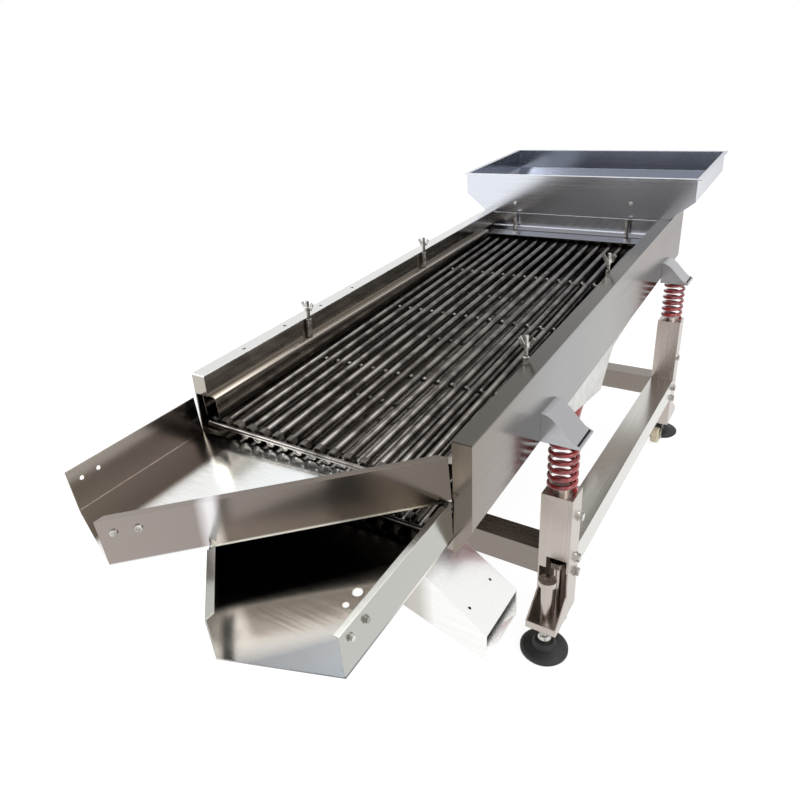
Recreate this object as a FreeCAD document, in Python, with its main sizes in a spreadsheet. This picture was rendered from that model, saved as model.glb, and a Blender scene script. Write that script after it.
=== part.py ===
import FreeCAD, Part
import math
import os

import Sketcher

# A linear vibrating sieve. X runs across the machine, +Y towards the feed end, +Z up. Sub-parts are drawn
# with x = 0 on the centre line, y = 0 at the front of the screen box and z = 0 on the floor, and each
# Placement then carries them by front_to_centre, so that the origin is under the middle of the machine.
Vector = FreeCAD.Vector

DIMENSIONS = {
    # screen box
    "box_width": 600, "box_length": 1480, "box_front_height": 620, "box_slope": 0.07, "side_depth": 155,
    "flange_width": 34, "return_depth": 42, "panel_sheet": 3, "tray_sheet": 2, "tongue_depth": 216,
    # screen decks
    "deck_slope": 0.095, "deck_width": 524, "deck_length": 1290, "rod_diameter": 15, "rod_count": 16,
    "upper_drop": 104, "lower_drop": 166, "comb_depth": 14, "comb_sheet": 2, "comb_rise": 20,
    "comb_play": 0.3, "bar_diameter": 10, "lower_reach": 20,
    # fines pan and chutes
    "pan_drop": 206, "pan_half_width": 266, "pan_wall": 60, "chute_wall": 74, "fines_front": 20,
    "fines_rear": 150,
    # hopper
    "hopper_front": 1300, "hopper_back": 1755, "hopper_half_width": 360, "hopper_band": 64,
    "hopper_cone": 54, "hopper_sheet": 2.5, "rim_width": 10,
    # base frame
    "leg_outer": 368, "leg_wide": 64, "leg_deep": 58, "front_leg": 292, "rear_leg": 1250,
    "front_leg_height": 365, "rear_leg_height": 418, "tube_wall": 3, "rail_top": 230, "rail_size": 60,
    "kick": 59, "foot_plate_top": 80, "foot_plate": 6, "channel_top": 190,
    # springs and their brackets
    "spring_length": 120, "spring_radius": 26, "wire_radius": 4.8, "spring_turns": 6, "bracket_reach": 77,
    "bracket_deep": 78, "bracket_rise": 60, "bracket_sheet": 3,
    # feet and castors
    "pad_radius": 50, "stud_diameter": 16, "sleeve_height": 187, "wheel_radius": 25, "wheel_gap": 3,
    # drive
    "motor_axis_x": 135, "motor_radius": 72, "motor_body": 150, "motor_cover": 55, "plate_to_axis": 96,
    "hang_y": 863.5, "hang_z": 398.5, "shaft_radius": 15, "weight_radius": 52,
    # placing
    "front_to_centre": 696.26,
}


class Size:
    """A length that carries its value and the sheet expression that drives it."""

    def __init__(self, value, text):
        self.value = value
        self.text = text

    def join(self, other, sign, value, swap=False):
        other = size(other)
        first, second = (other, self) if swap else (self, other)
        return Size(value(first.value, second.value), "(%s %s %s)" % (first.text, sign, second.text))

    def __add__(self, other):
        return self.join(other, "+", lambda a, b: a + b)

    def __radd__(self, other):
        return self.join(other, "+", lambda a, b: a + b, swap=True)

    def __sub__(self, other):
        return self.join(other, "-", lambda a, b: a - b)

    def __rsub__(self, other):
        return self.join(other, "-", lambda a, b: a - b, swap=True)

    def __mul__(self, other):
        return self.join(other, "*", lambda a, b: a * b)

    def __rmul__(self, other):
        return self.join(other, "*", lambda a, b: a * b, swap=True)

    def __truediv__(self, other):
        return self.join(other, "/", lambda a, b: a / b)

    def __neg__(self):
        return Size(-self.value, "(0 - %s)" % self.text)


def size(length):
    """A plain number or a Size as a Size."""
    if isinstance(length, Size):
        return length
    return Size(float(length), "%.6g" % length if length >= 0 else "(0 - %.6g)" % -length)


doc = FreeCAD.newDocument("VibratingSieve")
sheet = doc.addObject("Spreadsheet::Sheet", "Dims")
for row, (word, number) in enumerate(DIMENSIONS.items(), start=1):
    sheet.set("A%d" % row, word)
    sheet.set("B%d" % row, str(number))
    sheet.setAlias("B%d" % row, word)
doc.recompute()
dim = {word: Size(float(number), "Dims." + word) for word, number in DIMENSIONS.items()}
parts = []


# ---------------------------------------------------------------- drawing helpers

def new_body(label):
    body = doc.addObject("PartDesign::Body", label)
    body.Label = label
    parts.append(body)
    return body


def plane_of(body, role):
    return [feature for feature in body.Origin.OriginFeatures if feature.Role == role][0]


def sketch_on(body, role, offset=0.0):
    """An empty sketch on one of the body's own planes, moved along the plane's normal by offset."""
    sketch = body.newObject("Sketcher::SketchObject", "Sketch")
    sketch.AttachmentSupport = [(plane_of(body, role), "")]
    sketch.MapMode = "FlatFace"
    offset = size(offset)
    sketch.AttachmentOffset = FreeCAD.Placement(Vector(0, 0, offset.value), FreeCAD.Rotation())
    sketch.setExpression("AttachmentOffset.Base.z", offset.text)
    return sketch


def drive(sketch, kind, *items):
    """Adds a constraint whose last item is a Size, and binds it to the sheet."""
    *places, length = items
    length = size(length)
    index = sketch.addConstraint(Sketcher.Constraint(kind, *places, length.value))
    sketch.setExpression("Constraints[%d]" % index, length.text)


def add_outline(sketch, points):
    """A closed outline of straight lines through points, each fixed from the sketch's origin."""
    points = [(size(u), size(v)) for u, v in points]
    corners = [Vector(u.value, v.value, 0) for u, v in points]
    first = len(sketch.Geometry)
    for index, corner in enumerate(corners):
        sketch.addGeometry(Part.LineSegment(corner, corners[(index + 1) % len(corners)]))
    for index, (u, v) in enumerate(points):
        line, following = first + index, first + (index + 1) % len(points)
        sketch.addConstraint(Sketcher.Constraint("Coincident", line, 2, following, 1))
        drive(sketch, "DistanceX", -1, 1, line, 1, u)
        drive(sketch, "DistanceY", -1, 1, line, 1, v)


def add_circle(sketch, centre, radius):
    u, v, radius = size(centre[0]), size(centre[1]), size(radius)
    circle = sketch.addGeometry(Part.Circle(Vector(u.value, v.value, 0), Vector(0, 0, 1), radius.value))
    drive(sketch, "Radius", circle, radius)
    drive(sketch, "DistanceX", -1, 1, circle, 3, u)
    drive(sketch, "DistanceY", -1, 1, circle, 3, v)


def draw(sketch, shapes):
    """Draws each shape: a list of points is an outline, a (centre, radius) tuple is a circle."""
    for shape in shapes:
        if isinstance(shape, tuple):
            add_circle(sketch, shape[0], shape[1])
        else:
            add_outline(sketch, shape)


def start_offset(role, start, length, cutting):
    """Where the sketch lies so that its pad, or its pocket, fills start to start + length along the axis."""
    start, length = size(start), size(length)
    if role == "XZ_Plane":  # this plane's normal is -Y
        return -start if cutting else -(start + length)
    return start + length if cutting else start


def pad(body, role, shapes, start, length):
    """Adds the shapes, drawn on a plane, from start over length along that plane's axis."""
    sketch = sketch_on(body, role, start_offset(role, start, length, False))
    draw(sketch, shapes)
    feature = body.newObject("PartDesign::Pad", "Pad")
    feature.Profile = sketch
    feature.Length = size(length).value
    feature.setExpression("Length", size(length).text)
    body.Tip = feature
    return feature


def pocket(body, role, shapes, start, length):
    """Cuts the shapes away from start over length, and checks that something was cut."""
    doc.recompute()
    before = body.Shape.Volume
    sketch = sketch_on(body, role, start_offset(role, start, length, True))
    draw(sketch, shapes)
    feature = body.newObject("PartDesign::Pocket", "Pocket")
    feature.Profile = sketch
    feature.Length = size(length).value
    feature.setExpression("Length", size(length).text)
    body.Tip = feature
    doc.recompute()
    if body.Shape.Volume > before - 1.0:
        raise ValueError("a pocket in %s cuts nothing" % body.Label)
    return feature


def revolve(body, points, cutting=False):
    """Turns a half section, drawn as (radius, height), about the body's Z axis."""
    sketch = sketch_on(body, "XZ_Plane")
    add_outline(sketch, points)
    kind = "PartDesign::Groove" if cutting else "PartDesign::Revolution"
    feature = body.newObject(kind, "Turned")
    feature.Profile = sketch
    feature.ReferenceAxis = (sketch, ["V_Axis"])
    feature.Angle = 360
    body.Tip = feature
    return feature


def repeat(body, feature, role, count, step):
    """Repeats a feature count times along one of the body's axes, step apart."""
    doc.recompute()
    pattern = body.newObject("PartDesign::LinearPattern", "Row")
    pattern.Originals = [feature]
    pattern.Direction = (plane_of(body, role), [""])
    count, step = size(count), size(step)
    pattern.Length = (count.value - 1) * step.value
    pattern.Occurrences = int(count.value)
    pattern.setExpression("Length", ((count - 1) * step).text)
    pattern.setExpression("Occurrences", count.text)
    body.Tip = pattern
    return pattern


def place(thing, x=0, y=0, z=0, rotation=None):
    """Puts a sub-part at a point of the machine, given from the front of the screen box."""
    x, y, z = size(x), size(y) - dim["front_to_centre"], size(z)
    thing.Placement = FreeCAD.Placement(Vector(x.value, y.value, z.value), rotation or FreeCAD.Rotation())
    for axis, length in zip("xyz", (x, y, z)):
        thing.setExpression("Placement.Base." + axis, length.text)


def box_points(x0, x1, y0, y1):
    return [(x0, y0), (x1, y0), (x1, y1), (x0, y1)]


def sloped(level, start, end, slope, thickness):
    """A strip in the Y-Z plane that rises with the slope; level is its lower edge at y = 0."""
    start, end = size(start), size(end)
    low, high = level + slope * start, level + slope * end
    return [(start, low), (end, high), (end, high + thickness), (start, low + thickness)]


TOP = dim["box_front_height"]
WIDE = dim["box_width"] / 2
SLOPE = dim["box_slope"]
SHEET = dim["panel_sheet"]
BOX_TILT = FreeCAD.Rotation(Vector(1, 0, 0), math.degrees(math.atan(DIMENSIONS["box_slope"])))
DECK_TILT = FreeCAD.Rotation(Vector(1, 0, 0), math.degrees(math.atan(DIMENSIONS["deck_slope"])))
SIDES = {"left": -1, "right": 1}
ENDS = {"front": dim["front_leg"], "rear": dim["rear_leg"]}


# ---------------------------------------------------------------- base frame

def tube(body, role, x0, x1, y0, y1, start, length):
    """Adds a rectangular tube that runs square to the plane of role, open at both ends."""
    wall = dim["tube_wall"]
    pad(body, role, [box_points(x0, x1, y0, y1)], start, length)
    pocket(body, role, [box_points(x0 + wall, x1 - wall, y0 + wall, y1 - wall)], start, length)


def leg_span(side):
    """The leg's lowest and highest x on one side of the machine."""
    outer, inner = dim["leg_outer"] * side, (dim["leg_outer"] - dim["leg_wide"]) * side
    return (inner, outer) if side > 0 else (outer, inner)


def leg(end, side_name):
    """A tube leg with a cap plate, the boss that centres its spring and the notch over its stem bolt."""
    side, front = SIDES[side_name], ENDS[end]
    x0, x1 = leg_span(side)
    height = dim["%s_leg_height" % end]
    cap, boss_radius, boss_height = 9, 18, 10
    body = new_body("leg_%s_%s" % (end, side_name))
    tube(body, "XY_Plane", x0, x1, front, front + dim["leg_deep"], dim["channel_top"],
         height - cap - dim["channel_top"])
    pad(body, "XY_Plane", [box_points(x0, x1, front, front + dim["leg_deep"])], height - cap, cap)
    centre = ((x0 + x1) / 2, front + dim["leg_deep"] / 2)
    pad(body, "XY_Plane", [(centre, boss_radius)], height, boss_height)
    # the wall towards the foot plate is notched so that a spanner reaches the stem bolt
    stem = (x0 + x1) / 2 + 6 * side
    face = front if end == "front" else front + dim["leg_deep"] - dim["tube_wall"]
    pocket(body, "XZ_Plane", [box_points(stem - 21, stem + 21, dim["channel_top"] - 1,
                                         dim["channel_top"] + 28)], face, dim["tube_wall"])
    place(body)


def foot_channel(end, side_name):
    """The open channel below a leg, kicked away from the machine, with its foot plate and sleeves."""
    side, front = SIDES[side_name], ENDS[end]
    deep, wall, kick = dim["leg_deep"], dim["tube_wall"], dim["kick"]
    x0, x1 = leg_span(side)
    top, low = dim["channel_top"], dim["foot_plate_top"] - dim["foot_plate"]
    bend, lip = 129, 10
    # y runs from the channel's back wall (u = 0) towards its open mouth; the rear feet face the other way
    back = front + deep if end == "front" else front
    towards = -1 if end == "front" else 1
    toe, face = back + towards * (deep + kick), back + towards * deep
    cheek = [(back, low), (toe, low), (toe, dim["foot_plate_top"] + lip), (face, bend), (face, top),
             (back, top)]
    body = new_body("foot_channel_%s_%s" % (end, side_name))
    pad(body, "YZ_Plane", [cheek], x0, x1 - x0)
    inner = [(back + towards * wall, dim["foot_plate_top"]), (toe + towards * 20, dim["foot_plate_top"]),
             (toe + towards * 20, top + 1), (back + towards * wall, top + 1)]
    pocket(body, "YZ_Plane", [inner], x0 + wall, x1 - x0 - 2 * wall)
    middle = (x0 + x1) / 2
    # the lip along the toe of the plate
    lip_near = toe if end == "front" else toe - wall
    pad(body, "XY_Plane", [box_points(x0 + wall, x1 - wall, lip_near, lip_near + wall)],
        dim["foot_plate_top"], lip)
    # threaded sleeve of the levelling foot
    sleeve = (middle, foot_y(end))
    pad(body, "XY_Plane", [(sleeve, 12)], dim["foot_plate_top"], dim["sleeve_height"] - dim["foot_plate_top"])
    pad(body, "XY_Plane", [(sleeve, 18.5)], dim["sleeve_height"] - 12, 12)
    pocket(body, "XY_Plane", [(sleeve, dim["stud_diameter"] / 2 + 0.5)], low, dim["sleeve_height"] - 20 - low)
    slot = box_points(middle - 7, middle + 7, foot_y(end) - 4, foot_y(end) + 4)
    pocket(body, "XY_Plane", [slot], dim["sleeve_height"] - 5, 5)
    # long hexagon-headed bolt that holds the castor's fork
    stem = (middle + 6 * side, stem_y(end))
    pad(body, "XY_Plane", [(stem, 9)], dim["foot_plate_top"], 116)
    hexagon = [(stem[0] + 18 * math.cos(math.radians(60 * turn)),
                stem[1] + 18 * math.sin(math.radians(60 * turn))) for turn in range(6)]
    pad(body, "XY_Plane", [hexagon], dim["foot_plate_top"] + 116, 12)
    place(body)


def stem_y(end):
    """Where the bolt of a castor stands, just inside the leg wall that faces the foot plate."""
    return dim["front_leg"] + 12 if end == "front" else dim["rear_leg"] + dim["leg_deep"] - 12


def foot_y(end):
    """Where a levelling foot stands, out on its kicked foot plate."""
    kicked = dim["kick"] / 2
    return dim["front_leg"] - kicked if end == "front" else dim["rear_leg"] + dim["leg_deep"] + kicked


def wheel_y(end):
    """The castor wheels trail towards the middle of the machine."""
    trail = 24
    middle = ENDS[end] + dim["leg_deep"] / 2
    return middle + trail if end == "front" else middle - trail


def rails():
    """The two long rails and the two cross rails of the base frame."""
    high, deep = dim["rail_size"], dim["leg_deep"]
    low = dim["rail_top"] - high
    start = dim["front_leg"] + deep
    inner = dim["leg_outer"] - dim["leg_wide"]
    long_rails, cross_rails = new_body("long_rails"), new_body("cross_rails")
    for side in SIDES.values():
        x0, x1 = leg_span(side)
        tube(long_rails, "XZ_Plane", x0, x1, low, low + high, start, dim["rear_leg"] - start)
    for end, front in ENDS.items():
        near = front if end == "front" else front + deep - high
        tube(cross_rails, "YZ_Plane", near, near + high, low, low + high, -inner, inner * 2)
    place(long_rails)
    place(cross_rails)


def frame_bolts():
    """Hex bolts in the outer face of each leg, over and under the joint with the long rail."""
    body = new_body("frame_bolts")
    across, head, washer = 9, 7, 11
    for side in SIDES.values():
        for end, front in ENDS.items():
            y = front + dim["leg_deep"] * (0.8 if end == "front" else 0.2)
            for z in (dim["channel_top"] + 114, dim["channel_top"] + 12, dim["channel_top"] - 24):
                outer = dim["leg_outer"] if side > 0 else -dim["leg_outer"] - 2
                pad(body, "YZ_Plane", [((y, z), washer)], outer, 2)
                points = [(y + across * math.cos(math.radians(60 * turn)),
                           z + across * math.sin(math.radians(60 * turn))) for turn in range(6)]
                start = dim["leg_outer"] + 2 if side > 0 else -dim["leg_outer"] - 2 - head
                pad(body, "YZ_Plane", [points], start, head)
    place(body)


# ---------------------------------------------------------------- feet, castors and springs

def levelling_foot(end, side_name):
    """A rubber pad and the stud that screws into its sleeve."""
    centre = SIDES[side_name] * (dim["leg_outer"] - dim["leg_wide"] / 2)
    radius = dim["pad_radius"]
    pad_body = new_body("foot_pad_%s_%s" % (end, side_name))
    revolve(pad_body, [(0, 0), (radius - 4, 0), (radius, 5), (radius, 11), (radius - 5, 15), (26, 20),
                       (20, 30), (0, 30)])
    place(pad_body, centre, foot_y(end))
    stud = new_body("foot_stud_%s_%s" % (end, side_name))
    half = dim["stud_diameter"] / 2
    revolve(stud, [(0, 30), (13, 30), (14, 36), (11, 43), (half, 45), (half, 148), (half - 2, 150), (0, 150)])
    nut = [(14 * math.cos(math.radians(60 * turn)), 14 * math.sin(math.radians(60 * turn)))
           for turn in range(6)]
    pad(stud, "XY_Plane", [nut], 46, 12)
    place(stud, centre, foot_y(end))


def castor_forks():
    """The pressed forks under the four foot plates, each with the axle of its wheel."""
    fork = new_body("castor_forks")
    half, gauge = 17, 2.5
    axle_z = dim["wheel_radius"] + dim["wheel_gap"]
    top = dim["foot_plate_top"] - dim["foot_plate"] - gauge
    for side in SIDES.values():
        centre = (dim["leg_outer"] - dim["leg_wide"] / 2) * side
        for end in ENDS:
            start_y, axle_y = stem_y(end), wheel_y(end)
            reach = 9 if end == "front" else -9
            pad(fork, "XY_Plane", [box_points(centre - half, centre + half, start_y - 18, start_y + 18)],
                top, gauge)
            cheek = [(start_y - reach, top), (start_y + 2 * reach, top), (axle_y + reach, axle_z - 7),
                     (axle_y - reach, axle_z - 7)]
            for start in (centre - half, centre + half - gauge):
                pad(fork, "YZ_Plane", [cheek], start, gauge)
            pad(fork, "YZ_Plane", [((axle_y, axle_z), 4)], centre - half - 2, 2 * half + 4)
    place(fork)


def castor_wheel(end, side_name):
    """A nylon wheel with a rounded tread and a hub, lying across the machine."""
    centre = (dim["leg_outer"] - dim["leg_wide"] / 2) * SIDES[side_name]
    radius, half, bore = dim["wheel_radius"], 12, 4.3
    side_of_wheel = [(bore, half), (10, half), (10, half - 3), (radius - 6, half - 3),
                     (radius - 4, half - 1), (radius - 2, half - 1), (radius, half - 4)]
    wheel = new_body("castor_wheel_%s_%s" % (end, side_name))
    revolve(wheel, side_of_wheel + [(u, -v) for u, v in reversed(side_of_wheel)])
    place(wheel, centre, wheel_y(end), dim["wheel_radius"] + dim["wheel_gap"],
          FreeCAD.Rotation(Vector(0, 1, 0), 90))


def spring(end, side_name):
    """An open coil of six turns; its wire is a hexagon swept along short straight runs."""
    runs_per_turn = 10
    radius, wire = DIMENSIONS["spring_radius"], DIMENSIONS["wire_radius"]
    turns, length = DIMENSIONS["spring_turns"], DIMENSIONS["spring_length"]
    rise = (length - 2 * wire - 0.8) / (turns * runs_per_turn)
    path = []
    for index in range(turns * runs_per_turn + 1):
        angle = 2 * math.pi * index / runs_per_turn
        path.append(Vector(radius * math.cos(angle), radius * math.sin(angle), rise * index))
    along = (path[1] - path[0]).normalize()
    across = Vector(0, 0, 1).cross(along).normalize()
    upward = along.cross(across)
    ring = [path[0] + across * (wire * math.cos(math.radians(60 * turn)))
            + upward * (wire * math.sin(math.radians(60 * turn))) for turn in range(6)]
    section = Part.makePolygon(ring + [ring[0]])
    right_corner = 1
    coil = Part.Wire(Part.makePolygon(path).Edges).makePipeShell([section], True, False, right_corner)
    label = "spring_%s_%s" % (end, side_name)
    feature = doc.addObject("Part::Feature", label)
    feature.Label = label
    feature.Shape = coil
    parts.append(feature)
    centre = (dim["leg_outer"] - dim["leg_wide"] / 2 - 1) * SIDES[side_name]
    seat = dim["%s_leg_height" % end] + dim["wire_radius"] + 0.4
    place(feature, centre, ENDS[end] + dim["leg_deep"] / 2, seat)


def spring_bracket(end, side_name):
    """A welded hood with an ogee top that stands out from the side panel over a spring."""
    side = SIDES[side_name]
    wall, reach, deep = dim["bracket_sheet"], dim["bracket_reach"], dim["bracket_deep"]
    seat = dim["%s_leg_height" % end] + dim["spring_length"]
    start = ENDS[end] + dim["leg_deep"] / 2 - deep / 2

    def hood(inset):
        """The half outline over the spring: it curves away from the panel and then flares to a lip."""
        high = dim["bracket_rise"] - inset
        points = [(WIDE, seat + inset), (WIDE + reach - inset, seat + inset),
                  (WIDE + reach - inset, seat + inset + 4)]
        curve = [(0, 0), (11, 3), (20, 8), (29, 15.5), (37, 24), (52, 40), (62, 49.5)]
        points += [(WIDE + along, seat + high - fall) for along, fall in reversed(curve)]
        return [(u * side, v) for u, v in points]

    body = new_body("spring_bracket_%s_%s" % (end, side_name))
    pad(body, "XZ_Plane", [hood(0)], start, deep)
    pocket(body, "XZ_Plane", [hood(wall.value)], start + wall, deep - 2 * wall)
    centre = (side * (dim["leg_outer"] - dim["leg_wide"] / 2 - 1), start + deep / 2)
    pad(body, "XY_Plane", [(centre, 18)], seat - 8, 8)
    place(body)


# ---------------------------------------------------------------- screen box

def side_panel(side_name):
    """A folded side: outer sheet, box-shaped top edge, bottom flange and closed front end."""
    side = SIDES[side_name]
    length, depth, width = dim["box_length"], dim["side_depth"], dim["flange_width"]
    body = new_body("side_panel_" + side_name)

    def strip(shapes, near, thickness):
        """Pads a Y-Z shape over thickness, near being its distance from the centre line."""
        start = near if side > 0 else -(size(near) + thickness)
        pad(body, "YZ_Plane", shapes, start, thickness)

    inner = WIDE - width
    strip([sloped(TOP - depth, 0, length, SLOPE, depth)], WIDE - SHEET, SHEET)
    strip([sloped(TOP - SHEET, 0, length, SLOPE, SHEET)], inner, width)
    strip([sloped(TOP - dim["return_depth"], 0, dim["hopper_front"] - 8, SLOPE, dim["return_depth"])],
          inner, SHEET)
    strip([sloped(TOP - depth, 0, length, SLOPE, SHEET)], inner, width)
    if side > 0:
        end_face = [(inner, TOP), (inner, TOP - dim["tongue_depth"]), (WIDE, TOP - depth - 3), (WIDE, TOP)]
        pad(body, "XZ_Plane", [end_face], 0, SHEET)
    else:
        end_face = box_points(-WIDE, -inner, TOP - dim["return_depth"], TOP)
        pad(body, "XZ_Plane", [end_face], 0, SHEET)
        tongue = [(-WIDE, TOP - depth + SHEET), (-WIDE, TOP - depth - 3), (-inner, TOP - dim["tongue_depth"]),
                  (-inner, TOP - depth + SHEET)]
        pad(body, "XZ_Plane", [tongue], 0, SHEET)
        holes = [((-WIDE + width / 2, 126 + 127 * number), 4) for number in range(4)]
        pocket(body, "XY_Plane", holes, TOP - 8, 60)
    place(body)


def rear_panel():
    """The end plate between the two sides."""
    length = dim["box_length"]
    high = TOP + SLOPE * (length - SHEET)
    body = new_body("rear_panel")
    pad(body, "XZ_Plane", [box_points(-WIDE + SHEET, WIDE - SHEET, high - dim["side_depth"] + SHEET + 0.4,
                                      high - SHEET - 0.4)], length - SHEET, SHEET)
    place(body)


def fines_pan():
    """The bottom tray under the lower deck, with the slot through which fines leave."""
    half, wall, gauge = dim["pan_half_width"], dim["pan_wall"], dim["tray_sheet"]
    level = TOP - dim["pan_drop"]
    slope = dim["deck_slope"]
    end = dim["box_length"] - SHEET
    body = new_body("fines_pan")
    pad(body, "YZ_Plane", [sloped(level, SHEET, end, slope, gauge)], -half, half * 2)
    for start in (-half, half - gauge):
        pad(body, "YZ_Plane", [sloped(level, SHEET, end, slope, wall)], start, gauge)
    pad(body, "XZ_Plane", [box_points(-half, half, level, level + 24)], SHEET, gauge)
    rear = level + slope * (end - gauge)
    pad(body, "XZ_Plane", [box_points(-half, half, rear, rear + 34)], end - gauge, gauge)
    slot = box_points(-half + 10, 40, dim["fines_front"] + gauge, dim["fines_rear"] - gauge)
    pocket(body, "XY_Plane", [slot], level - 5, 40)
    place(body)


def fines_chute():
    """The sloping duct that carries the fines out to the right."""
    half, gauge = dim["pan_half_width"], dim["tray_sheet"]
    level = TOP - dim["pan_drop"]
    start, deep = dim["fines_front"], dim["fines_rear"] - dim["fines_front"]
    mouth, knee, neck = WIDE + 16, 60, 20
    roof, floor, heel = TOP - 380, TOP - 437, TOP - 262
    outer = [(-half, level + neck), (knee, level + neck), (knee, level), (mouth, roof), (mouth, floor),
             (-half, heel)]
    inner = [(-half + gauge, level + neck + 1), (knee - gauge, level + neck + 1),
             (knee - gauge, level - gauge), (mouth + 1, roof - gauge * 1.5), (mouth + 1, floor + gauge * 0.8),
             (-half + gauge, heel + gauge * 1.1)]
    body = new_body("fines_chute")
    pad(body, "XZ_Plane", [outer], start, deep)
    pocket(body, "XZ_Plane", [inner], start + gauge, deep - 2 * gauge)
    pan_underside = sloped(level, start - 1, start + deep + 1, dim["deck_slope"], 40)
    pocket(body, "YZ_Plane", [pan_underside], -half - 1, half + knee + 2)
    pocket(body, "XY_Plane", [((274, 40), 3), ((274, 123), 3)], TOP - 376, 40)
    place(body)


def diagonal_strip(start_x, tip_x, tip_y, width, side, mitre=0):
    """A strip along a chute's diagonal wall, width measured into the chute; side says which way it opens.

    The strip starts on y = 0 and keeps its rear edge there. At the tip its inner corner is cut back by
    mitre.
    """
    start_x, width = size(start_x), size(width)
    run_x, run_y = tip_x - start_x.value * side, tip_y
    length = math.hypot(run_x, run_y)
    in_x, in_y = run_y / length * side, abs(run_x) / length
    back_x, back_y = -run_x / length * mitre, -run_y / length * mitre
    root = width * (length / abs(run_y))
    inner_tip = (tip_x + width * in_x + back_x, tip_y + width * in_y + back_y)
    return [(start_x * side, 0), (tip_x, tip_y), inner_tip, ((start_x - root) * side, 0)]


def upper_chute():
    """The chute under the front of the upper deck, which narrows towards the left."""
    gauge, wall, lip = dim["tray_sheet"], dim["chute_wall"], 12
    inner = WIDE - dim["flange_width"]
    reach, tip_x, tip_y = 277, -124, -342
    body = new_body("upper_chute")
    pad(body, "XY_Plane", [[(-WIDE, 0), (inner, 0), (tip_x, tip_y), (-WIDE, -reach)]], -gauge, gauge)
    pad(body, "XY_Plane", [box_points(-WIDE, -WIDE + gauge, -reach, 0)], 0, wall + 2)
    pad(body, "XY_Plane", [diagonal_strip(inner, tip_x, tip_y, gauge, 1)], 0, wall + 4)
    pad(body, "XY_Plane", [diagonal_strip(inner, tip_x, tip_y, lip, 1, mitre=12)], wall + 4, gauge)
    pocket(body, "YZ_Plane", [((-222, 52), 4), ((-254, 52), 4)], -WIDE - 1, 6)
    along = FreeCAD.Rotation(Vector(1, 0, 0), math.degrees(math.atan(0.063)))
    across = FreeCAD.Rotation(Vector(0, 1, 0), -math.degrees(math.atan(0.0346)))
    place(body, 0, -1.2, TOP - 115.2, along.multiply(across))


def lower_chute():
    """The chute under the front of the lower deck, which narrows towards the right."""
    gauge, wall, lip = dim["tray_sheet"], dim["chute_wall"], 12
    inner = WIDE - dim["flange_width"]
    reach, tip_x, tip_y = 291, 93, -350
    body = new_body("lower_chute")
    pad(body, "XY_Plane", [[(inner, 0), (-inner, 0), (tip_x, tip_y), (inner, -reach)]], -gauge, gauge)
    pad(body, "XY_Plane", [box_points(inner - gauge, inner, -reach, 0)], 0, wall - 4)
    pad(body, "XY_Plane", [box_points(inner - 10, inner, -reach, -16)], wall - 4, gauge)
    pad(body, "XY_Plane", [diagonal_strip(inner, tip_x, tip_y, gauge, -1)], 0, wall - 6)
    pad(body, "XY_Plane", [diagonal_strip(inner, tip_x, tip_y, lip, -1, mitre=12)], wall - 6, gauge)
    pocket(body, "XY_Plane", [((195, -165), 8), ((194, -193), 5)], -5, 10)
    # the diagonal wall passes under the floor of the upper chute
    under = [(-252, 60.7), (2, 50), (2, wall + 10), (-252, wall + 10)]
    pocket(body, "YZ_Plane", [under], -inner - 1, inner - 3)
    # room for the deck's front bar, which reaches out over this chute
    pocket(body, "XY_Plane", [box_points(-inner - 1, -inner + 50, -33, 1)], 0.5, wall + 10)
    place(body, 0, -0.4, TOP - 178.5, BOX_TILT)


def chute_screws():
    """Button-headed screws through the walls of the product chutes."""
    body = new_body("chute_screws")
    inner = WIDE - dim["flange_width"]
    for y, z in ((-240, 476), (-273, 474.5)):
        pad(body, "YZ_Plane", [((y, z), 6)], inner + 0.3, 1.5)
        pad(body, "YZ_Plane", [((y, z), 4.5)], inner + 1.8, 3)
    place(body)


# ---------------------------------------------------------------- screen decks

def deck(name, drop, reach, bar_gap):
    """One rod deck: corrugated comb, rods in its valleys, and the frame that carries them.

    The deck is drawn level, with the rods' axes at z = 0 and its front edge at y = 0, then tilted.
    The front bar stops bar_gap short of the right side bar, to leave room for a chute's wall.
    """
    wide, radius, count = dim["deck_width"], dim["rod_diameter"] / 2, dim["rod_count"]
    pitch, length = wide / count, dim["deck_length"]
    first = -wide / 2 + pitch / 2
    at = (0, -reach, TOP - drop - reach * dim["deck_slope"], DECK_TILT)

    comb = new_body(name + "_comb")
    sketch = sketch_on(comb, "XZ_Plane", start_offset("XZ_Plane", 0, dim["comb_depth"], False))
    draw_corrugation(sketch, first, pitch)
    tooth = comb.newObject("PartDesign::Pad", "Corrugation")
    tooth.Profile = sketch
    tooth.Length = dim["comb_depth"].value
    tooth.setExpression("Length", dim["comb_depth"].text)
    repeat(comb, tooth, "X_Axis", count, pitch)
    place(comb, *at)

    rods = new_body(name + "_rods")
    rod = pad(rods, "XZ_Plane", [((first, 0), radius)], 1, length - 1)
    repeat(rods, rod, "X_Axis", count, pitch)
    place(rods, *at)

    frame = new_body(name + "_frame")
    bar, edge, gauge, gap = dim["bar_diameter"] / 2, wide / 2 + 1.5, 3, 0.2
    side_bar = [(0, -8), (24, -8), (24, -16), (length, -16), (length, 6), (length - 72, 6),
                (length - 72, 16), (0, 16)]
    for start in (-edge, edge - gauge):
        pad(frame, "YZ_Plane", [side_bar], start, gauge)
    pad(frame, "YZ_Plane", [((-bar, 10), bar)], -edge, edge * 2 - bar_gap)
    for cross_y in (330, 650, 950):
        pad(frame, "YZ_Plane", [((cross_y, -radius - 4 - gap), 4)], -edge, edge * 2)
    pad(frame, "YZ_Plane", [box_points(length - 24, length, -14, -radius - gap)], -edge, edge * 2)
    place(frame, *at)


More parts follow.
